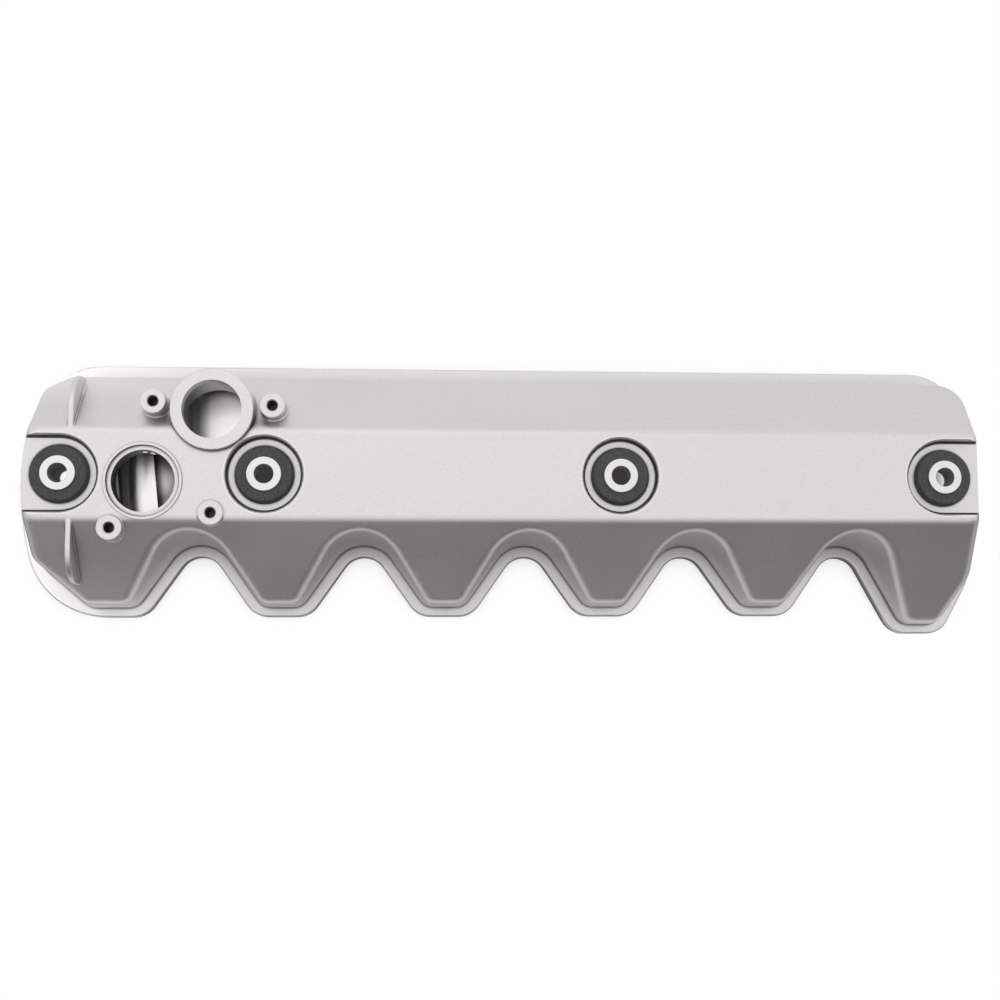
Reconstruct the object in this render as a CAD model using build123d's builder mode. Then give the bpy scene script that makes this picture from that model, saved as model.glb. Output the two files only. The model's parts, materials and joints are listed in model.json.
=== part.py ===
from build123d import *
import os
from math import asin, cos, degrees, radians, sin, tan

# A long die-cast aluminium valve cover for an inline-six truck diesel: a hood with a flat roof
# strip, two sloping flanks and six lobes along its front, held down through four rubber
# isolators with steel sleeves, sealed by a rubber gasket, with its oil baffles inside.
# X runs along the engine, Y across it, Z up. The origin is the middle of the sealing face.
# All sizes are millimetres and degrees.

# Overall
height = 75.0
wall = 4.0
draft = 5.0
flange_thickness = 8.0
flange_edge_radius = 1.5

# How far the flange reaches from the isolator row, and the row's place
back_reach = 90.7
lobe_reach = 97.3
last_lobe_reach = 111.1
row_y = (last_lobe_reach - back_reach) / 2

# Scallops along the front, one between each two lobes, and the cover's length past the outer two
pitch = 120.0
scallop_count = 5
left_reach = 132.0
right_reach = 103.0
length = left_reach + (scallop_count - 1) * pitch + right_reach
first_scallop_x = left_reach - length / 2
middle_scallop_x = first_scallop_x + (scallop_count - 1) / 2 * pitch
scallop_reach = 53.0
scallop_radius = 17.0
scallop_half_angle = 35.0
last_flank_angle = 28.6

# How far the flange stands out past the foot of the hood
lip_tip = 6.8
lip_scallop = 8.6
lip_back = 11.9
lip_left = 11.5
lip_right = 9.0

# Corners and ends of the flange
lobe_radius = 18.6
hood_lobe_radius = 11.5
cavity_lobe_radius = 6.0
bow_radius = 190.0
bow_half_height = 46.0
bow_slant = degrees(asin(bow_half_height / bow_radius))
bow_offset = 5.0
front_left_radius = 60.0
back_left_radius = 50.0
back_right_radius = 42.0
bevel_angle = 29.0
bevel_inset = 22.4
bevel_radius = 25.0

# The hood's own end forms: a flatter bow, two left corners cut off by facets whose runs go along
# the end and along the sides, and a tighter right corner
hood_bow_slant = 8.5
back_facet_end_run = 11.7
back_facet_side_run = 17.2
front_facet_end_run = 29.9
front_facet_side_run = 30.3
facet_radius = 12.0
hood_back_right_radius = 20.0

# How much of a side two neighbouring corners may take up together
side_share = 0.995

# Roof section
roof_half_width = 31.8
front_slope = 35.9
back_slope = 40.4
roof_edge_radius = 9.0

# Isolators, from left to right, with the pockets that hold them
left_isolator_inset = 43.7
second_isolator_run = 53.0
third_isolator_run = 64.9
right_isolator_inset = 41.7
isolator_xs = [
    left_isolator_inset - length / 2,
    first_scallop_x + second_isolator_run,
    middle_scallop_x + third_isolator_run,
    length / 2 - right_isolator_inset,
]
pocket_radius = 27.4
pocket_depth = 5.3
pocket_taper = 0.8
pocket_floor = 5.0
pocket_rim = 0.7
pocket_relief = 1.3
pocket_seat_inset = 1.4
grommet_hole_radius = 14.5

# Rubber isolator
grommet_radius = 21.0
grommet_top_radius = 19.2
grommet_height = 5.0
grommet_under_radius = 18.5
grommet_under_height = 5.0
grommet_edge_radius = 1.0

# Steel sleeve
sleeve_bore_radius = 6.75
sleeve_wall = 1.9
sleeve_flange_radius = 12.1
sleeve_flange_thickness = 1.5
sleeve_tail = 3.0
sleeve_edge = 0.4

# Breather port on the back slope: a bored ring over a slightly wider cored neck
breather_offset = 36.2
breather_x = isolator_xs[1] - breather_offset
breather_y = row_y + 45.0
breather_outer_radius = 28.9
breather_bore_radius = 20.8
breather_bore_depth = 8.0
breather_neck_radius = 21.3
breather_rise = 4.0
breather_root_drop = 39.0
breather_edge_radius = 0.8

# Oil filler in the roof
filler_x = isolator_xs[0] + 57.9
filler_y = row_y - 5.2
filler_bore_radius = 22.0
filler_seat_radius = 25.4
filler_seat_depth = 1.5
filler_bead_radius = 27.2
filler_bead_rise = 0.7
filler_neck_wall = 4.0
filler_neck_depth = 16.0
catch_angles = [73.0, 88.0]
catch_width = 3.2
catch_reach = 1.6
catch_drop = 2.5
catch_thickness = 2.4

# Four tapped bosses beside the two ports
boss_places = [
    (filler_x + 6.3, row_y + 50.7),
    (breather_x + 41.7, row_y + 48.2),
    (filler_x - 21.9, row_y - 38.3),
    (breather_x - 0.2, row_y - 27.7),
]
boss_radius = 8.9
boss_edge_radius = 0.8
boss_foot_radius = 1.2
boss_rise = 2.2
boss_root_drop = 31.0
boss_post_depth = 20.0
tapped_radius = 3.4
tapped_depth = 16.0
tapped_chamfer = 0.9

# Fins at the left end, one on each slope
fin_x = isolator_xs[0] + 7.8
fin_thickness = 3.6
fin_drop = 0.5
fin_front_reach = 75.5
fin_back_reach = 73.5
fin_root_drop = 37.0
fin_front_radius = 22.0
fin_back_radius = 26.0
fin_edge_radius = 0.8
fin_foot_radius = 0.8

# Gasket in its groove
groove_inset = 2.9
groove_width = 4.4
groove_depth = 5.0

# Sheet metal and its screws
sheet = 1.2
post_radius = 5.0
screw_radius = 2.0
screw_length = 9.0
screw_hole_radius = 2.3
screw_head_radius = 4.0
screw_head_height = 2.4
screw_head_edge = 0.6
screw_socket_radius = 1.7
screw_socket_depth = 1.3

# Separator chamber under the breather port: cast walls closed by a sheet
chamber_left = breather_x - breather_neck_radius
chamber_right = breather_x + 66.7
chamber_front = row_y + 25.8
chamber_back = row_y + 72.0
chamber_facet_x = 10.5
chamber_facet_y = 16.6
chamber_wall = 3.5
plate_bottom_z = height - 47.0
plate_margin = 0.7
ear_radius = 6.5
inlet_width = 8.0
inlet_length = 30.0
plate_screws = [
    (chamber_left - 7.5, row_y + 43.8),
    (chamber_left - 7.5, row_y + 65.8),
    (chamber_right + 7.5, row_y + 33.8),
    (chamber_right + 7.5, row_y + 65.8),
]

# Splash pan under the filler, with two bent-up edges
pan_left = filler_x - 37.1
pan_right = filler_x + 15.9
pan_front = row_y - 40.2
pan_back = row_y + 33.8
pan_bottom_z = height - 51.0
pan_rim = 6.0
pan_bend_radius = 1.5
pan_screw_end = 6.5
pan_screw_side = 8.5
pan_screws = [
    (pan_left + pan_screw_end, pan_front + pan_screw_side),
    (pan_left + pan_screw_end, pan_back - pan_screw_side),
    (pan_right - pan_screw_end, pan_front + pan_screw_side),
    (pan_right - pan_screw_end, pan_back - pan_screw_side),
]

# Curved deflector under the filler, turned a little to the cover
deflector_x = filler_x - 9.1
deflector_y = filler_y + 5.0
deflector_turn = 6.2
deflector_half_width = 29.0
deflector_sheet_left = -12.0
deflector_sheet_right = 10.7
deflector_tab_left = -25.5
deflector_tab_half_width = 15.5
deflector_drop = 38.0
deflector_tab_drop = 20.2
deflector_bottom_z = height - deflector_drop
deflector_tab_z = height - deflector_tab_drop
deflector_bend_radius = 15.0
deflector_tab_bend = 2.0
deflector_screw_x = -20.5
deflector_screw_spacing = 20.0

roof_z = height
pocket_floor_z = roof_z - pocket_depth
pocket_under_z = pocket_floor_z - pocket_floor
boss_top_z = roof_z + boss_rise
breather_top_z = roof_z + breather_rise
grommet_top_z = pocket_floor_z + grommet_height
grommet_bottom_z = pocket_under_z - grommet_under_height
sleeve_top_z = grommet_top_z + sleeve_flange_thickness
sleeve_outer_radius = sleeve_bore_radius + sleeve_wall
end_xs = [-length / 2, length / 2]
turn_cos = cos(radians(deflector_turn))
turn_sin = sin(radians(deflector_turn))
deflector_screws = [
    (
        deflector_x + deflector_screw_x * turn_cos - side * turn_sin,
        deflector_y + deflector_screw_x * turn_sin + side * turn_cos,
    )
    for side in (-deflector_screw_spacing / 2, deflector_screw_spacing / 2)
]


def fitted_radii(points, radii):
    """Corner radii, limited so that neighbouring corners fit on the side between them."""
    corners = [Vector(*point) for point in points]
    count = len(corners)
    sides = [corners[(index + 1) % count] - corners[index] for index in range(count)]
    runs = [
        radii[index] * tan(radians(sides[index - 1].get_angle(sides[index]) / 2))
        for index in range(count)
    ]
    shares = [
        min(1.0, side_share * sides[index].length / (runs[index] + runs[(index + 1) % count]))
        for index in range(count)
    ]
    return [radii[index] * min(shares[index - 1], shares[index]) for index in range(count)]


def plan(tip, scallop, back, left, right, lobe_corner, faceted=False):
    """Points and corner radii of the cover's outline, drawn in from the flange's edge."""
    front = row_y - lobe_reach + tip
    last_front = row_y - last_lobe_reach + tip
    rear = row_y + back_reach - back
    slant = radians(hood_bow_slant if faceted else bow_slant)
    bow_y = row_y - bow_offset
    bow_x = -length / 2 + left - (bow_radius - left) * (1 / cos(slant) - 1)
    rear_x = bow_x + (rear - bow_y) * tan(slant)
    front_x = bow_x + (bow_y - front) * tan(slant)
    if faceted:
        back_run = back_facet_end_run
        front_run = front_facet_end_run
        points = [
            (rear_x + back_facet_side_run, rear),
            (rear_x - back_run * sin(slant), rear - back_run * cos(slant)),
            (bow_x, bow_y),
            (front_x - front_run * sin(slant), front + front_run * cos(slant)),
            (front_x + front_facet_side_run, front),
        ]
        radii = [facet_radius, facet_radius, bow_radius - left, facet_radius, facet_radius]
    else:
        points = [(rear_x, rear), (bow_x, bow_y), (front_x, front)]
        radii = [back_left_radius - back, bow_radius - left, front_left_radius - tip]
    radius = scallop_radius + scallop
    centre_y = row_y - scallop_reach - scallop_radius
    for index in range(scallop_count):
        last = index == scallop_count - 1
        x = first_scallop_x + index * pitch
        near = radians(scallop_half_angle)
        far = radians(last_flank_angle if last else scallop_half_angle)
        far_front = last_front if last else front
        near_run = (radius - sin(near) * (front - centre_y)) / cos(near)
        far_run = (radius - sin(far) * (far_front - centre_y)) / cos(far)
        apex_x = x + radius * (sin(near) - sin(far)) / sin(near + far)
        apex_y = centre_y + radius * (cos(near) + cos(far)) / sin(near + far)
        points += [(x - near_run, front), (apex_x, apex_y), (x + far_run, far_front)]
        radii += [lobe_corner, radius, lobe_corner]
    bevel = radians(bevel_angle)
    corner_x = length / 2 - bevel_inset - scallop / cos(bevel)
    corner_y = row_y - last_lobe_reach
    end_x = length / 2 - right
    points.append((corner_x + (last_front - corner_y) * tan(bevel), last_front))
    radii.append(lobe_corner)
    points.append((end_x, corner_y + (end_x - corner_x) / tan(bevel)))
    radii.append(bevel_radius)
    points.append((end_x, rear))
    radii.append(hood_back_right_radius if faceted else back_right_radius - back)
    return points, fitted_radii(points, radii)


def hood_insets(depth, z):
    """Insets of the hood's drafted wall at a height, for a surface that deep inside it."""
    drawn = depth + (z - flange_thickness) * tan(radians(draft))
    return [lip + drawn for lip in (lip_tip, lip_scallop, lip_back, lip_left, lip_right)]


def roof_section(drop):
    """The hood's cross section, with its roof and slopes set in by a wall's thickness."""
    top = roof_z - drop
    front_y = row_y - roof_half_width + drop * tan(radians(front_slope / 2))
    back_y = row_y + roof_half_width - drop * tan(radians(back_slope / 2))
    floor = -wall
    return [
        (front_y - (top - floor) / tan(radians(front_slope)), floor),
        (front_y, top),
        (back_y, top),
        (back_y + (top - floor) / tan(radians(back_slope)), floor),
    ]


def drafted_form(depth, bottom, top, lobe_corner):
    """A solid of the hood's outline at a depth inside its wall, with draft and the roof's shape."""
    low_points, low_radii = plan(*hood_insets(depth, bottom), lobe_corner, faceted=True)
    high_points, high_radii = plan(*hood_insets(depth, top), lobe_corner, faceted=True)
    with BuildPart() as form:
        with BuildSketch(Plane.XY.offset(bottom)):
            with BuildLine():
                FilletPolyline(*low_points, radius=low_radii, close=True)
            make_face()
        with BuildSketch(Plane.XY.offset(top)):
            with BuildLine():
                FilletPolyline(*high_points, radius=high_radii, close=True)
            make_face()
        loft(ruled=True)
        with BuildSketch(Plane.YZ):
            with BuildLine():
                Polyline(*roof_section(depth), close=True)
            make_face()
        extrude(amount=length, both=True, mode=Mode.INTERSECT)
    return form.part


def pocket_form(x, low_z, low_radius, high_z, high_radius):
    """A tapered pocket round one isolator, run out through the cover's end beside it."""
    end_x = {isolator_xs[0]: end_xs[0], isolator_xs[-1]: end_xs[-1]}.get(x)
    with BuildPart() as form:
        for z, radius in ((low_z, low_radius), (high_z, high_radius)):
            with BuildSketch(Plane.XY.offset(z)):
                with Locations((x, row_y)):
                    Circle(radius)
                if end_x is not None:
                    with Locations(((x + end_x) / 2, row_y)):
                        Rectangle(abs(end_x - x), 2 * radius)
        loft(ruled=True)
    return form.part


def on_boss(edge):
    """Whether an edge runs round the side of one of the bosses, where it meets the hood."""
    points = [edge @ 0.2, edge @ 0.5, edge @ 0.8]
    for x, y in boss_places:
        reaches = [Vector(point.X - x, point.Y - y).length for point in points]
        if all(abs(reach - boss_radius) < 0.01 for reach in reaches):
            return abs((edge % 0.5).Z) < 0.95
    return False


def on_fin(edge):
    """Whether an edge runs along the side of a fin, where it meets the hood."""
    reaches = [abs((edge @ part).X - fin_x) for part in (0.2, 0.8)]
    return all(abs(reach - fin_thickness / 2) < 0.01 for reach in reaches)


# Bosses with soft rims
with BuildPart() as bosses:
    with BuildSketch(Plane.XY.offset(roof_z - boss_root_drop)):
        with Locations(*boss_places):
            Circle(boss_radius)
    extrude(amount=boss_rise + boss_root_drop)
    fillet(bosses.edges().group_by(Axis.Z)[-1], boss_edge_radius)

# Fins with soft edges, one solid across the roof before the hood covers its middle
with BuildPart() as fins:
    with BuildSketch(Plane.YZ.offset(fin_x - fin_thickness / 2)):
        with BuildLine():
            FilletPolyline(
                (row_y - fin_front_reach, roof_z - fin_root_drop),
                (row_y - fin_front_reach, roof_z - fin_drop),
                (row_y + fin_back_reach, roof_z - fin_drop),
                (row_y + fin_back_reach, roof_z - fin_root_drop),
                radius=[fin_front_radius, fin_back_radius],
            )
            Line(
                (row_y + fin_back_reach, roof_z - fin_root_drop),
                (row_y - fin_front_reach, roof_z - fin_root_drop),
            )
        make_face()
    extrude(amount=fin_thickness)
    side_faces = fins.faces().filter_by(Axis.X)
    root_edges = fins.edges().group_by(Axis.Z)[0]
    fin_rim = [edge for edge in side_faces.edges() if edge not in root_edges]
    fillet(fin_rim, fin_edge_radius)

# The hood's outer form with its soft upper edges, with bosses and fins on soft feet
with BuildPart() as hood:
    add(drafted_form(0, flange_thickness / 2, roof_z + wall, hood_lobe_radius))
    upper_faces = hood.faces().filter_by(lambda face: face.normal_at().Z > 0.6)
    fillet(upper_faces.edges(), roof_edge_radius)
    add(bosses.part)
    boss_feet = [edge for edge in hood.edges(Select.NEW) if on_boss(edge)]
    fillet(boss_feet, boss_foot_radius)
    add(fins.part)
    fin_feet = [edge for edge in hood.edges(Select.NEW) if on_fin(edge)]
    fillet(fin_feet, fin_foot_radius)

# Cast walls of the separator chamber, trimmed by the hollow they stand in
with BuildPart() as chamber_walls:
    with BuildSketch(Plane.XY.offset(plate_bottom_z + sheet)):
        with BuildLine():
            Polyline(
                (chamber_left - chamber_wall, chamber_front - chamber_wall),
                (chamber_right + chamber_wall, chamber_front - chamber_wall),
                (chamber_right + chamber_wall, row_y + back_reach),
                (chamber_left - chamber_wall, row_y + back_reach),
                close=True,
            )
        make_face()
        with BuildLine():
            Polyline(
                (chamber_left, chamber_front),
                (chamber_right, chamber_front),
                (chamber_right, chamber_back),
                (chamber_left + chamber_facet_x, chamber_back),
                (chamber_left, chamber_back - chamber_facet_y),
                close=True,
            )
        make_face(mode=Mode.SUBTRACT)
    extrude(amount=height)

# The hollow, less what stands inside it
with BuildPart() as cavity:
    add(drafted_form(wall, -wall, roof_z, cavity_lobe_radius))
    # floors of the isolator pockets, thickened downwards
    with BuildSketch(Plane.XY.offset(pocket_under_z)):
        with Locations(*[(x, row_y) for x in isolator_xs]):
            Circle(pocket_radius + wall)
        for x, end_x in ((isolator_xs[0], end_xs[0]), (isolator_xs[-1], end_xs[-1])):
            with Locations(((x + end_x) / 2, row_y)):
                Rectangle(abs(end_x - x), 2 * (pocket_radius + wall))
    extrude(amount=height, mode=Mode.SUBTRACT)
    # blind ends of the tapped bosses
    with BuildSketch(Plane.XY.offset(boss_top_z - boss_post_depth)):
        with Locations(*boss_places):
            Circle(boss_radius)
    extrude(amount=height, mode=Mode.SUBTRACT)
    # neck below the filler
    with BuildSketch(Plane.XY.offset(roof_z - filler_neck_depth)):
        with Locations((filler_x, filler_y)):
            Circle(filler_bore_radius + filler_neck_wall)
    extrude(amount=height, mode=Mode.SUBTRACT)
    add(chamber_walls.part, mode=Mode.SUBTRACT)
    # posts for the sheets' screws
    for places, seat_z in (
        (plate_screws, plate_bottom_z + sheet),
        (pan_screws, pan_bottom_z + sheet),
        (deflector_screws, deflector_tab_z + sheet),
    ):
        with BuildSketch(Plane.XY.offset(seat_z)):
            with Locations(*places):
                Circle(post_radius)
        extrude(amount=height, mode=Mode.SUBTRACT)

# Ring of the breather port, with a soft outer edge
with BuildPart() as breather_ring:
    with BuildSketch(Plane.XY.offset(roof_z - breather_root_drop)):
        with Locations((breather_x, breather_y)):
            Circle(breather_outer_radius)
    extrude(amount=breather_top_z - roof_z + breather_root_drop)
    fillet(breather_ring.edges().group_by(Axis.Z)[-1], breather_edge_radius)

# The casting: flange, hood and everything cast with them
flange_points, flange_radii = plan(0, 0, 0, 0, 0, lobe_radius)
with BuildPart() as cover_casting:
    with BuildSketch():
        with BuildLine():
            FilletPolyline(*flange_points, radius=flange_radii, close=True)
        make_face()
    extrude(amount=flange_thickness)
    fillet(cover_casting.edges().group_by(Axis.Z)[-1], flange_edge_radius)
    add(hood.part)
    add(breather_ring.part)
    with BuildSketch(Plane.XY.offset(roof_z - wall)):
        with Locations((filler_x, filler_y)):
            Circle(filler_bead_radius)
    extrude(amount=wall + filler_bead_rise)
    add(cavity.part, mode=Mode.SUBTRACT)
    # isolator pockets, the outer two open to the ends, with a bevelled rim
    for isolator_x in isolator_xs:
        floor_radius = pocket_radius - pocket_taper
        pocket_wall = pocket_form(isolator_x, pocket_floor_z, floor_radius, roof_z, pocket_radius)
        add(pocket_wall, mode=Mode.SUBTRACT)
        rim_z = roof_z - pocket_rim
        rim_radius = pocket_radius + 2 * pocket_rim
        pocket_bevel = pocket_form(isolator_x, rim_z, pocket_radius, roof_z + pocket_rim, rim_radius)
        add(pocket_bevel, mode=Mode.SUBTRACT)
    # relief along the foot of each pocket's wall, round the raised seat
    for isolator_x in isolator_xs:
        relief_z = pocket_floor_z - pocket_relief
        seat_radius = floor_radius - pocket_seat_inset
        relief = pocket_form(isolator_x, relief_z, floor_radius, pocket_floor_z, floor_radius)
        seat = pocket_form(isolator_x, relief_z, seat_radius, pocket_floor_z, seat_radius)
        add(relief - seat, mode=Mode.SUBTRACT)
    with Locations(*[(x, row_y, pocket_floor_z) for x in isolator_xs]):
        Hole(grommet_hole_radius)
    # bores of the two ports
    with Locations((breather_x, breather_y, breather_top_z)):
        Hole(breather_bore_radius, depth=breather_bore_depth)
    with BuildSketch(Plane.XY.offset(breather_top_z - breather_bore_depth)):
        with Locations((breather_x, breather_y)):
            Circle(breather_neck_radius)
    extrude(amount=breather_bore_depth - breather_rise - breather_root_drop, mode=Mode.SUBTRACT)
    with Locations((filler_x, filler_y, roof_z + filler_bead_rise)):
        Hole(filler_bore_radius, depth=filler_bead_rise + filler_neck_depth)
        Hole(filler_seat_radius, depth=filler_bead_rise + filler_seat_depth)
    # catches inside the filler's bore for its cap
    with BuildSketch(Plane.XY.offset(roof_z - filler_seat_depth - catch_drop - catch_thickness)):
        with Locations((filler_x, filler_y)):
            for catch_angle in catch_angles:
                with PolarLocations(filler_bore_radius, 1, start_angle=catch_angle):
                    Rectangle(2 * catch_reach, catch_width)
    extrude(amount=catch_thickness)
    # tapped holes with their lead-in
    with Locations(*[(x, y, boss_top_z) for x, y in boss_places]):
        CounterSinkHole(tapped_radius, tapped_radius + tapped_chamfer, depth=tapped_depth)
    # pilot holes in the posts
    for places, seat_z in (
        (plate_screws, plate_bottom_z),
        (pan_screws, pan_bottom_z),
        (deflector_screws, deflector_tab_z),
    ):
        with BuildSketch(Plane.XY.offset(seat_z)):
            with Locations(*places):
                Circle(screw_radius)
        extrude(amount=screw_length, mode=Mode.SUBTRACT)
    # groove for the gasket
    outer_inset = groove_inset
    inner_inset = groove_inset + groove_width
    outer_points, outer_radii = plan(*[outer_inset] * 5, lobe_radius - outer_inset)
    inner_points, inner_radii = plan(*[inner_inset] * 5, lobe_radius - inner_inset)
    with BuildSketch() as groove:
        with BuildLine():
            FilletPolyline(*outer_points, radius=outer_radii, close=True)
        make_face()
        with BuildLine():
            FilletPolyline(*inner_points, radius=inner_radii, close=True)
        make_face(mode=Mode.SUBTRACT)
    extrude(amount=groove_depth, mode=Mode.SUBTRACT)

os.makedirs("parts", exist_ok=True)
cover_casting.part.label = "cover_casting"
export_step(cover_casting.part, "parts/cover_casting.step")

# Rubber gasket, pressed flush with the sealing face
with BuildPart() as gasket:
    add(groove.sketch)
    extrude(amount=groove_depth)
gasket.part.label = "gasket"
export_step(gasket.part, "parts/gasket.step")

# Isolators: a rubber grommet snapped into each pocket floor, and a flanged sleeve through it
for number, isolator_x in enumerate(isolator_xs, 1):
    with BuildPart() as grommet:
        with Locations((isolator_x, row_y, pocket_floor_z)):
            upright = (Align.CENTER, Align.CENTER, Align.MIN)
            Cone(grommet_radius, grommet_top_radius, grommet_height, align=upright)
        fillet(grommet.edges().group_by(Axis.Z)[-1], grommet_edge_radius)
        with BuildSketch(Plane.XY.offset(pocket_under_z)):
            with Locations((isolator_x, row_y)):
                Circle(grommet_hole_radius)
        extrude(amount=pocket_floor)
        with BuildSketch(Plane.XY.offset(grommet_bottom_z)):
            with Locations((isolator_x, row_y)):
                Circle(grommet_under_radius)
        extrude(amount=grommet_under_height)
        fillet(grommet.edges().group_by(Axis.Z)[0], grommet_edge_radius)
        with Locations((isolator_x, row_y, grommet_top_z)):
            Hole(sleeve_outer_radius)
    grommet.part.label = f"grommet_{number}"
    export_step(grommet.part, f"parts/grommet_{number}.step")

    with BuildPart() as sleeve:
        with BuildSketch(Plane.XY.offset(grommet_bottom_z - sleeve_tail)):
            with Locations((isolator_x, row_y)):
                Circle(sleeve_outer_radius)
        extrude(amount=grommet_top_z - grommet_bottom_z + sleeve_tail)
        with BuildSketch(Plane.XY.offset(grommet_top_z)):
            with Locations((isolator_x, row_y)):
                Circle(sleeve_flange_radius)
        extrude(amount=sleeve_flange_thickness)
        with Locations((isolator_x, row_y, sleeve_top_z)):
            Hole(sleeve_bore_radius)
        fillet(sleeve.edges().group_by(Axis.Z)[-1], sleeve_edge)
    sleeve.part.label = f"sleeve_{number}"
    export_step(sleeve.part, f"parts/sleeve_{number}.step")

# Sheet that closes the separator chamber, with a gas inlet at the end far from the port
with BuildPart() as separator_plate:
    with BuildSketch(Plane.XY.offset(plate_bottom_z)):
        with BuildLine():
            Polyline(
                (chamber_left - chamber_wall, chamber_front - chamber_wall),
                (chamber_right + chamber_wall, chamber_front - chamber_wall),
                (chamber_right + chamber_wall, chamber_back + plate_margin),
                (chamber_left - chamber_wall, chamber_back + plate_margin),
                close=True,
            )
        make_face()
        with Locations(*plate_screws):
            Circle(ear_radius)
        for x, y in plate_screws:
            inward = 1 if x < breather_x else -1
            with Locations((x + inward * ear_radius / 2, y)):
                Rectangle(ear_radius, 2 * ear_radius)
        with Locations(*plate_screws):
            Circle(screw_hole_radius, mode=Mode.SUBTRACT)
        with Locations((chamber_right - inlet_width, (chamber_front + chamber_back) / 2)):
            SlotOverall(inlet_length, inlet_width, rotation=90, mode=Mode.SUBTRACT)
    extrude(amount=sheet)
separator_plate.part.label = "separator_plate"
export_step(separator_plate.part, "parts/separator_plate.step")

# Splash pan: one bent sheet
with BuildPart() as splash_pan:
    with BuildSketch(Plane.YZ.offset(pan_left)):
        with BuildLine():
            FilletPolyline(
                (pan_front, pan_bottom_z + pan_rim),
                (pan_front, pan_bottom_z),
                (pan_back, pan_bottom_z),
                (pan_back, pan_bottom_z + pan_rim),
                radius=[pan_bend_radius + sheet, pan_bend_radius + sheet],
            )
            offset(amount=sheet, side=Side.LEFT)
        make_face()
    extrude(amount=pan_right - pan_left)
    with Locations(*[(x, y, pan_bottom_z + sheet) for x, y in pan_screws]):
        Hole(screw_hole_radius, depth=2 * sheet)
splash_pan.part.label = "splash_pan"
export_step(splash_pan.part, "parts/splash_pan.step")

# Filler deflector: a sheet with a tab that hangs from two posts and a curved skirt below it
with BuildPart() as filler_deflector:
    with BuildSketch(Plane.XZ):
        with BuildLine():
            FilletPolyline(
                (deflector_tab_left, deflector_tab_z + sheet),
                (deflector_sheet_left + sheet, deflector_tab_z + sheet),
                (deflector_sheet_left + sheet, deflector_bottom_z + sheet),
                (deflector_sheet_right, deflector_bottom_z + sheet),
                radius=[deflector_tab_bend + sheet, deflector_bend_radius],
            )
            offset(amount=sheet, side=Side.RIGHT)
        make_face()
    extrude(amount=deflector_half_width, both=True)
    for side in (-1, 1):
        spare = deflector_half_width - deflector_tab_half_width
        spare_y = side * (deflector_tab_half_width + spare / 2)
        with BuildSketch(Plane.XY.offset(deflector_bottom_z)):
            with Locations((deflector_tab_left, spare_y)):
                Rectangle(2 * (deflector_sheet_left - deflector_tab_left), spare)
        extrude(amount=height, mode=Mode.SUBTRACT)
    with BuildSketch(Plane.XY.offset(deflector_tab_z)):
        for side in (-deflector_screw_spacing / 2, deflector_screw_spacing / 2):
            with Locations((deflector_screw_x, side)):
                Circle(screw_hole_radius)
    extrude(amount=2 * sheet, mode=Mode.SUBTRACT)
turned_place = Location((deflector_x, deflector_y, 0), (0, 0, deflector_turn))
turned_deflector = filler_deflector.part.moved(turned_place)
turned_deflector.label = "filler_deflector"
export_step(turned_deflector, "parts/filler_deflector.step")


def machine_screw(x, y, seat_z):
    """A socket screw that points up, its head against a sheet whose lower face is at seat_z."""
    with BuildPart() as screw:
        with BuildSketch(Plane.XY.offset(seat_z - screw_head_height)):
            with Locations((x, y)):
                Circle(screw_head_radius)
        extrude(amount=screw_head_height)
        fillet(screw.edges().group_by(Axis.Z)[0], screw_head_edge)
        with BuildSketch(Plane.XY.offset(seat_z)):
            with Locations((x, y)):
                Circle(screw_radius)
        extrude(amount=screw_length - 1)
        with BuildSketch(Plane.XY.offset(seat_z - screw_head_height)):
            with Locations((x, y)):
                RegularPolygon(screw_socket_radius, 6)
        extrude(amount=screw_socket_depth, mode=Mode.SUBTRACT)
    return screw.part


for name, places, seat_z in (
    ("plate_screw", plate_screws, plate_bottom_z),
    ("pan_screw", pan_screws, pan_bottom_z),
    ("deflector_screw", deflector_screws, deflector_tab_z),
):
    for number, (screw_x, screw_y) in enumerate(places, 1):
        fastener = machine_screw(screw_x, screw_y, seat_z)
        fastener.label = f"{name}_{number}"
        export_step(fastener, f"parts/{name}_{number}.step")
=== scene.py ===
import json
from math import pi, radians

import bmesh
import bpy
from mathutils import Euler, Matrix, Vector

# The finishes, floor, light and camera for a long die-cast valve cover. Everything is in metres,
# in the part's own frame: X along the cover, Y to its straight back, Z up from the sealing face.
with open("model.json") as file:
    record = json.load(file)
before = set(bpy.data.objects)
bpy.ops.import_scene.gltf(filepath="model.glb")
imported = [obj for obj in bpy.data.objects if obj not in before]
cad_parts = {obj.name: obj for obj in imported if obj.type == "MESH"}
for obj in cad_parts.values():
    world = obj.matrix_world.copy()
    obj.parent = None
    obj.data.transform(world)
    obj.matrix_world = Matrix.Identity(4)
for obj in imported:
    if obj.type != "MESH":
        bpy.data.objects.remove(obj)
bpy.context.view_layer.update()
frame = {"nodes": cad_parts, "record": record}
nodes = frame["nodes"]
scene = bpy.context.scene

# Heights above the sealing face that the finishes, with their painted light and shade, follow
slope_foot_z = 0.014
slope_top_z = 0.058
pocket_rim_z = 0.0743
filler_seat_z = 0.0732
breather_neck_z = 0.071
above_pan_z = 0.034
under_tab_z = 0.050

# Radii around the upright axes, and two pitches
pocket_radius = 0.0274
boss_radius = 0.011
tapped_radius = 0.0034
sleeve_bore_radius = 0.0067
breather_neck_radius = 0.0240
catch_radius = 0.0190
catch_end_radius = 0.0205
filler_wall_radius = 0.0222
thread_pitch = 0.00125
bore_ring_pitch = 0.0036

# Places in plan where the casting's skin changes: its painted light at the left and its painted shade at
# the back's foot
left_end_x = -0.335
left_fade_x = -0.20
back_foot_y = 0.066
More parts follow.
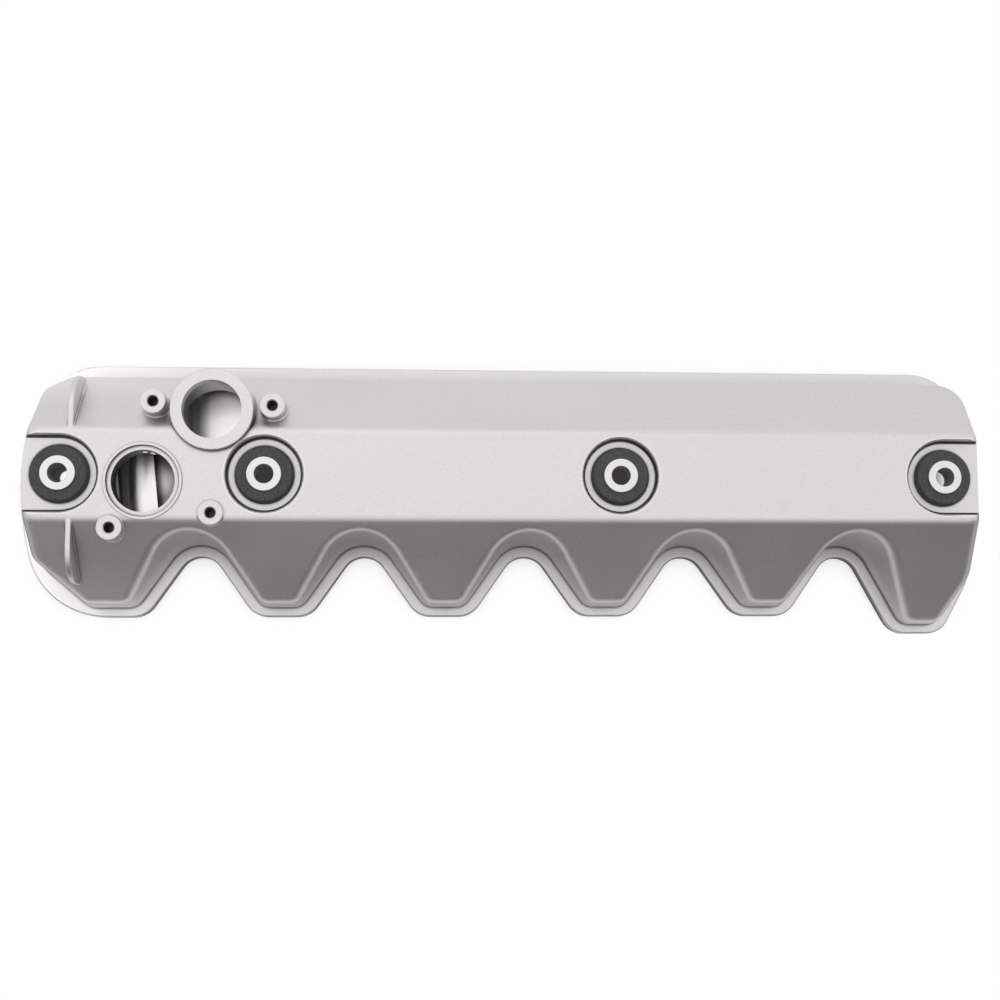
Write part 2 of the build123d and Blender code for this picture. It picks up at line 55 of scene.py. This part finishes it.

# The floor under the hood with its painted shade, the painted spot of light below the left sleeve, and the
# ground in front
hood_left = -0.345
hood_right = 0.335
hood_front = -0.025
hood_back = 0.045
painted_light_spot = (-0.3265, 0.0170)
painted_light_spot_radius = 0.005
before_tips_y = -0.112
near_ground_y = -0.22
far_ground_y = -0.50
floor_half_width = 6.0


def mount_places(start):
    """The axes, in plan, of the mounts whose names begin so."""
    return [mount["pos_m"][:2] for mount in frame["record"]["mounts"] if mount["name"].startswith(start)]


isolators = mount_places("isolator_bore")
bosses = mount_places("boss_thread")
breather = mount_places("breather_bore")[0]
filler = mount_places("filler_seat")[0]


class Wire:
    """An output socket that takes part in arithmetic; each operation adds one Math node."""

    def __init__(self, graph, socket):
        self.graph = graph
        self.socket = socket

    def math(self, operation, *others, clamp=False):
        """A Math node with this value first."""
        settings = {"operation": operation, "use_clamp": clamp}
        inputs = dict(enumerate((self,) + others))
        return self.graph.node("ShaderNodeMath", settings, inputs)

    def __add__(self, other):
        return self.math("ADD", other)

    def __radd__(self, other):
        return self.math("ADD", other)

    def __sub__(self, other):
        return self.math("SUBTRACT", other)

    def __rsub__(self, other):
        return self.math("MULTIPLY_ADD", -1.0, other)

    def __mul__(self, other):
        return self.math("MULTIPLY", other)

    def __rmul__(self, other):
        return self.math("MULTIPLY", other)

    def __truediv__(self, other):
        return self.math("DIVIDE", other)

    def rise(self, low, high):
        """0 below low, 1 above high, and a straight rise between them."""
        return ((self - low) / (high - low)).math("ADD", 0.0, clamp=True)

    def fall(self, low, high):
        """1 below low, 0 above high, and a straight fall between them."""
        return 1.0 - self.rise(low, high)


class Graph:
    """The nodes of one material or world."""

    def __init__(self, owner):
        owner.use_nodes = True
        self.tree = owner.node_tree
        self.tree.nodes.clear()

    def node(self, kind, settings=None, inputs=None, output=0):
        """Adds a node, sets it up, feeds its inputs, and returns one of its outputs."""
        made = self.tree.nodes.new(kind)
        for name, value in (settings or {}).items():
            setattr(made, name, value)
        for name, value in (inputs or {}).items():
            if isinstance(value, Wire):
                self.tree.links.new(value.socket, made.inputs[name])
            else:
                made.inputs[name].default_value = value
        return None if output is None else Wire(self, made.outputs[output])

    def axes(self, vector):
        """The three numbers of a vector."""
        return [self.node("ShaderNodeSeparateXYZ", {}, {0: vector}, output=index) for index in range(3)]

    def place(self):
        """The place of the surface in metres."""
        return self.node("ShaderNodeTexCoord", output="Object")

    def mix(self, factor, low, high):
        """Blends two colours."""
        settings = {"data_type": "RGBA"}
        return self.node("ShaderNodeMix", settings, {0: factor, 6: low, 7: high}, output=2)

    def mix_shader(self, factor, low, high):
        """Blends two shaders."""
        return self.node("ShaderNodeMixShader", {}, {0: factor, 1: low, 2: high})

    def emission(self, strength):
        """A white glow of that strength."""
        return self.node("ShaderNodeEmission", {}, {"Color": grey(1.0), "Strength": strength})

    def noise(self, vector, size, detail=2.0, roughness=0.5, stretch=(1.0, 1.0, 1.0)):
        """Noise whose features are about that size in metres."""
        scaled = self.node("ShaderNodeMapping", {}, {"Vector": vector, "Scale": stretch})
        inputs = {"Vector": scaled, "Scale": 1.0 / size, "Detail": detail, "Roughness": roughness}
        return self.node("ShaderNodeTexNoise", {}, inputs)

    def bump(self, height, strength, distance):
        """A normal that follows a height."""
        inputs = {"Height": height, "Strength": strength, "Distance": distance}
        return self.node("ShaderNodeBump", {}, inputs)

    def crevice(self, distance, low, high):
        """1 in the open and 0 in a corner or groove about as deep as that distance."""
        settings = {"samples": 8}
        open_share = self.node("ShaderNodeAmbientOcclusion", settings, {"Distance": distance}, output="AO")
        return open_share.rise(low, high)

    def length(self, across, along):
        """The length of a level line with these two sides."""
        return (across * across + along * along).math("SQRT")

    def least(self, distances):
        """The smallest of some distances."""
        best = distances[0]
        for distance in distances[1:]:
            best = best.math("MINIMUM", distance)
        return best

    def distance_from(self, x, y, centre):
        """How far the surface lies from an upright axis."""
        return self.length(x - centre[0], y - centre[1])

    def nearest(self, x, y, centres):
        """How far the surface lies from the nearest of some upright axes."""
        return self.least([self.distance_from(x, y, centre) for centre in centres])

    def from_pockets(self, x, y, centres):
        """How far the surface lies from the nearest pocket's middle line; the outer two run to the ends."""
        run_outs = {0: "MAXIMUM", len(centres) - 1: "MINIMUM"}
        distances = []
        for index, centre in enumerate(centres):
            across = x - centre[0]
            if index in run_outs:
                across = across.math(run_outs[index], 0.0)
            distances.append(self.length(across, y - centre[1]))
        return self.least(distances)

    def turns(self, z, pitch, low, high):
        """Level rings or threads, one to each pitch of height."""
        return (z * (2 * pi / pitch)).math("SINE").rise(low, high)

    def surface(self, **sockets):
        """The Principled shader and the material's output. Names use _ where sockets have a space."""
        inputs = {name.replace("_", " "): value for name, value in sockets.items()}
        self.finish(self.node("ShaderNodeBsdfPrincipled", {}, inputs), "ShaderNodeOutputMaterial")

    def finish(self, shader, kind):
        """Links the last shader to an output node."""
        self.node(kind, {}, {"Surface": shader}, output=None)


def new_material(name):
    """A material of that name and its empty graph."""
    material = bpy.data.materials.new(name)
    return material, Graph(material)


def grey(level, warmth=0.0):
    """A neutral colour, a little warmer or cooler."""
    return (level * (1 + warmth), level, level * (1 - warmth), 1.0)


def paint_breather_neck_shade(graph, x, y, z, colour):
    """Painted shade: the wall under the breather's ring is drawn as getting little light, least of all at
    its left.
    """
    from_left = (x - breather[0]).rise(-0.018, 0.002)
    painted_wall_shade = graph.mix(from_left, grey(0.09), grey(0.85))
    from_breather = graph.distance_from(x, y, breather)
    in_neck = from_breather.fall(breather_neck_radius, breather_neck_radius + 0.0005)
    in_neck = in_neck * z.fall(breather_neck_z - 0.004, breather_neck_z)
    return graph.mix(in_neck, colour, painted_wall_shade)


def paint_filler_neck_shade_and_highlight(graph, x, y, z, colour):
    """Painted shade makes the wall under the filler's seat dark, and a painted highlight makes its two
    catches shine.
    """
    from_filler = graph.distance_from(x, y, filler)
    below_seat = z.fall(filler_seat_z, filler_seat_z + 0.0002)
    past_catches = from_filler.rise(catch_end_radius, catch_end_radius + 0.0010)
    painted_shade_on_wall = below_seat * past_catches
    painted_shade_on_wall = painted_shade_on_wall * from_filler.fall(filler_wall_radius, filler_wall_radius + 0.0002)
    colour = graph.mix(painted_shade_on_wall, colour, grey(0.12))
    painted_highlight_on_catches = below_seat * from_filler.rise(catch_radius, catch_radius + 0.0005)
    painted_highlight_on_catches = painted_highlight_on_catches * (1.0 - past_catches)
    return graph.mix(painted_highlight_on_catches, colour, grey(0.99))


def paint_pocket_rim_highlights(graph, x, y, z, colour):
    """The pockets' bevelled rims get a painted highlight."""
    from_pocket = graph.from_pockets(x, y, isolators)
    rim = from_pocket.rise(pocket_radius, pocket_radius + 0.0003)
    rim = rim * from_pocket.fall(pocket_radius + 0.0008, pocket_radius + 0.0014)
    rim = rim * z.rise(pocket_rim_z - 0.0001, pocket_rim_z)
    return graph.mix(rim, colour, grey(0.94, 0.005))


def cast_aluminium():
    """Satin die-cast skin, with painted shade darkening its hollows, sharp corners and bores, and painted
    light on the pocket rims, the filler's catches and the front slope's left foot.
    """
    material, graph = new_material("cast_aluminium")
    place = graph.place()
    x, y, z = graph.axes(place)
    cloud = graph.noise(place, size=0.06, detail=3.0)
    grain = graph.noise(place, size=0.0012, detail=3.0, roughness=0.6)
    skin = graph.mix(cloud.rise(0.35, 0.65), grey(0.74, 0.015), grey(0.77, 0.015))
    skin = graph.mix(grain.rise(0.3, 0.7), grey(0.69, 0.015), skin)
    # painted light: the front slope is paler toward its foot at the left
    painted_light_left_foot = z.fall(slope_foot_z, slope_top_z) * x.fall(left_end_x, left_fade_x)
    skin = graph.mix(painted_light_left_foot, skin, grey(0.98, 0.01))
    # painted shade: wide hollows are dim and narrow corners nearly black, but less so at the bosses and the
    # back's foot
    from_boss = graph.nearest(x, y, bosses)
    by_boss = 0.75 * from_boss.fall(boss_radius, boss_radius + 0.006)
    at_back = y.rise(back_foot_y, back_foot_y + 0.006)
    clear_of_painted_hollow_shade = graph.crevice(distance=0.030, low=0.33, high=0.64).math("MAXIMUM", by_boss)
    clear_of_painted_corner_shade = graph.crevice(distance=0.0030, low=0.48, high=0.88).math("MAXIMUM", by_boss)
    clear_of_painted_corner_shade = clear_of_painted_corner_shade.math("MAXIMUM", at_back)
    colour = graph.mix(clear_of_painted_hollow_shade, grey(0.28, 0.01), skin)
    colour = graph.mix(clear_of_painted_corner_shade, grey(0.07, 0.01), colour)
    colour = paint_pocket_rim_highlights(graph, x, y, z, colour)
    colour = paint_breather_neck_shade(graph, x, y, z, colour)
    colour = paint_filler_neck_shade_and_highlight(graph, x, y, z, colour)
    # the bosses' threads, with painted shade darkening the tapped holes
    tapped = from_boss.fall(tapped_radius, tapped_radius + 0.0003)
    crests = graph.turns(z, thread_pitch, low=-0.4, high=1.0)
    colour = graph.mix(tapped, colour, graph.mix(crests, grey(0.10), grey(0.40)))
    normal = graph.bump(grain * (1.0 - tapped), strength=0.3, distance=0.0004)
    graph.surface(Base_Color=colour, Metallic=1.0, Roughness=0.42 + 0.08 * cloud, Normal=normal)
    return material


def plated_steel():
    """Turned and plated steel of the sleeves, rougher and ringed inside the bore, where painted shade
    darkens it.
    """
    material, graph = new_material("sleeve_steel")
    place = graph.place()
    x, y, z = graph.axes(place)
    cloud = graph.noise(place, size=0.004)
    inside = graph.nearest(x, y, isolators).fall(sleeve_bore_radius, sleeve_bore_radius + 0.0004)
    bright = graph.mix(cloud, grey(0.74, 0.01), grey(0.80, 0.01))
    rings = graph.turns(z, bore_ring_pitch, low=0.2, high=0.9)
    ringed_bore_with_painted_shade = graph.mix(rings, grey(0.75), grey(0.28))
    colour = graph.mix(inside, bright, ringed_bore_with_painted_shade)
    graph.surface(Base_Color=colour, Metallic=1.0, Roughness=0.32 + 0.08 * cloud + 0.2 * inside)
    return material


def sheet_steel():
    """Rolled sheet with a fine grain, with painted shade where the bores let little light in and painted
    light where they let it in.
    """
    material, graph = new_material("sheet_steel")
    place = graph.place()
    x, y, z = graph.axes(place)
    grain = graph.noise(place, size=0.0006, stretch=(0.05, 1.0, 1.0))
    rolled = graph.mix(grain, grey(0.88, 0.01), grey(0.97, 0.01))
    # painted light: the deflector is lit to the right of a slanting line
    across = x - filler[0]
    light_slant = 0.25
    painted_deflector_light = (across - light_slant * (y - filler[1])).rise(-0.0125, -0.005)
    # painted light: the pan shows a soft round pool of light beside the deflector
    painted_pan_spot = (filler[0] - 0.001, filler[1] + 0.007)
    painted_pan_light = graph.distance_from(x, y, painted_pan_spot).fall(0.001, 0.014)
    # painted light: the separator plate is lit at its right, and less toward the back
    toward_back = y.rise(0.058, 0.084)
    painted_plate_light = (x - breather[0]).rise(-0.017, -0.008) * (1.0 - 0.75 * toward_back)
    # the plate lies to the right of the pan, and the deflector stands above the two
    past_pan = across.rise(0.029, 0.031)
    painted_low_light = graph.mix(past_pan, painted_pan_light, painted_plate_light)
    light = graph.mix(z.rise(above_pan_z, above_pan_z + 0.002), painted_low_light, painted_deflector_light)
    # painted shade where no light falls, with lighter grey streaks in the left part, and painted shade on
    # the deflector's tab
    streaks = graph.noise(place, size=0.0045, stretch=(1.0, 0.05, 0.3)).rise(0.45, 0.60)
    streaks = streaks * across.fall(-0.008, -0.004)
    dim = graph.mix(streaks, grey(0.26), grey(0.60))
    colour = graph.mix(light, dim, rolled)
    colour = graph.mix(z.rise(under_tab_z, under_tab_z + 0.003), colour, grey(0.12))
    normal = graph.bump(grain, strength=0.15, distance=0.0003)
    graph.surface(Base_Color=colour, Metallic=1.0, Roughness=0.26 + 0.1 * grain, Normal=normal)
    return material


def screw_steel():
    """Plain steel of the small screws inside."""
    material, graph = new_material("screw_steel")
    cloud = graph.noise(graph.place(), size=0.002)
    colour = graph.mix(cloud, grey(0.5, 0.02), grey(0.6, 0.02))
    graph.surface(Base_Color=colour, Metallic=1.0, Roughness=0.4 + 0.1 * cloud)
    return material


def moulded_rubber(name, level):
    """Black rubber with a fine moulded skin and a little dust."""
    material, graph = new_material(name)
    place = graph.place()
    skin = graph.noise(place, size=0.0008, detail=3.0)
    cloud = graph.noise(place, size=0.009)
    colour = graph.mix(cloud.rise(0.3, 0.7), grey(level * 0.80, -0.08), grey(level * 1.05, -0.08))
    colour = graph.mix(skin.rise(0.50, 0.70), colour, grey(level * 2.2, -0.08))
    normal = graph.bump(skin, strength=0.3, distance=0.0002)
    graph.surface(Base_Color=colour, Roughness=0.6 + 0.15 * cloud, Normal=normal)
    return material


finishes = {
    "cast_aluminium": cast_aluminium(),
    "gasket_rubber": moulded_rubber("gasket_rubber", 0.03),
    "isolator_rubber": moulded_rubber("isolator_rubber", 0.048),
    "sleeve_steel": plated_steel(),
    "sheet_steel": sheet_steel(),
    "screw_steel": screw_steel(),
}
for subpart in frame["record"]["subparts"]:
    piece = nodes[subpart["node"]]
    piece.data.materials.clear()
    piece.data.materials.append(finishes[subpart["material_slot"]])


def floor_finish():
    """White to the camera, with a soft shadow in the scallops that is partly a painted shadow, painted
    shade under the hood with a painted spot of light, and partly dark in reflections.
    """
    material, graph = new_material("floor_white")
    x, y = graph.axes(graph.place())[:2]
    seen = graph.node("ShaderNodeLightPath", output="Is Camera Ray")
    mirrored = graph.node("ShaderNodeLightPath", output="Is Glossy Ray")
    # painted shade: the floor under the hood stays dark, but for a painted spot of light below the left
    # sleeve
    under = x.rise(hood_left - 0.007, hood_left) * x.fall(hood_right, hood_right + 0.010)
    under = under * y.rise(hood_front - 0.010, hood_front) * y.fall(hood_back, hood_back + 0.010)
    from_painted_light_spot = graph.distance_from(x, y, painted_light_spot)
    under = under * (1.0 - from_painted_light_spot.fall(painted_light_spot_radius, painted_light_spot_radius + 0.001))
    # mirrored in the casting it is dim in the scallops, dark far in front, and bright elsewhere
    scallops = y.rise(before_tips_y, before_tips_y + 0.024) * y.fall(0.05, 0.08)
    near = y.rise(far_ground_y, near_ground_y) * (1.0 - 0.7 * scallops)
    # painted shadow: the glow is lowered in corners within the scallops, so the matt part's real shadow
    # shows more there
    painted_contact_shadow = 1.0 - graph.crevice(distance=0.03, low=0.3, high=0.8)
    painted_contact_shadow = painted_contact_shadow * y.rise(before_tips_y + 0.012, before_tips_y + 0.032)
    shown = seen * (1.0 - 0.5 * painted_contact_shadow) + mirrored * near * 0.5
    matt = graph.node("ShaderNodeBsdfDiffuse", {}, {"Color": grey(0.85)})
    lit = graph.mix_shader(shown, matt, graph.emission(1.0))
    # the painted shade under the hood and the floor's dark reflections show only a faint glow
    dimmed = under.math("MAXIMUM", mirrored * (1.0 - near))
    above = graph.mix_shader(dimmed, lit, graph.emission(0.04))
    # from below the floor lets the underside be seen
    clear = graph.node("ShaderNodeBsdfTransparent")
    from_below = graph.node("ShaderNodeNewGeometry", output="Backfacing")
    graph.finish(graph.mix_shader(from_below, above, clear), "ShaderNodeOutputMaterial")
    return material


def white_floor():
    """A wide level floor at the sealing face."""
    mesh = bpy.data.meshes.new("floor")
    shape = bmesh.new()
    bmesh.ops.create_grid(shape, x_segments=1, y_segments=1, size=floor_half_width)
    shape.to_mesh(mesh)
    shape.free()
    floor = bpy.data.objects.new("floor", mesh)
    scene.collection.objects.link(floor)
    mesh.materials.append(floor_finish())


white_floor()


def studio_world():
    """Bright overhead, a little dimmer to the back, dark low in front, and white to the camera."""
    world = bpy.data.worlds.new("studio")
    scene.world = world
    sky = Graph(world)
    across, toward_back, upward = sky.axes(sky.node("ShaderNodeTexCoord", output="Generated"))
    front_dark = (toward_back * -1.0).rise(0.12, 0.45) * upward.fall(0.55, 0.95)
    left_lift = 1.0 - 0.12 * (across * -1.0).rise(0.10, 0.45)
    back_dim = toward_back.rise(0.17, 0.60)
    level = 1.05 - 0.97 * front_dark * left_lift - 0.17 * back_dim
    seen_directly = sky.node("ShaderNodeLightPath", output="Is Camera Ray")
    shown_level = level * (1.0 - seen_directly) + seen_directly
    backdrop = sky.node("ShaderNodeBackground", {}, {"Color": grey(1.0, 0.008), "Strength": shown_level})
    sky.finish(backdrop, "ShaderNodeOutputWorld")


studio_world()


def soft_lamp(name, place, target, size, power):
    """A rectangular lamp at a place, turned to a target."""
    lamp = bpy.data.lights.new(name, "AREA")
    lamp.shape = "RECTANGLE"
    lamp.size = size[0]
    lamp.size_y = size[1]
    lamp.energy = power
    holder = bpy.data.objects.new(name, lamp)
    scene.collection.objects.link(holder)
    holder.location = place
    aim = Vector(target) - Vector(place)
    holder.rotation_euler = aim.to_track_quat("-Z", "Y").to_euler()


soft_lamp("rear_softbox", place=(-0.4, 0.9, 1.5), target=(0.0, 0.0, 0.0), size=(1.6, 0.8), power=1.5)

# Camera at the photograph's place: metres, then degrees
camera_place = (-0.05636, -0.12891, 1.02165)
camera_turn = (5.3252, -4.0104, -0.2882)
camera = bpy.data.cameras.new("camera")
camera.sensor_width = 36.0
camera.lens = 48.62
camera.shift_x = -0.02491
camera.shift_y = 0.04673
camera.clip_start = 0.05
camera_holder = bpy.data.objects.new("camera", camera)
camera_holder.location = camera_place
camera_holder.rotation_euler = Euler([radians(angle) for angle in camera_turn])
scene.collection.objects.link(camera_holder)
scene.camera = camera_holder

scene.view_settings.view_transform = "Standard"
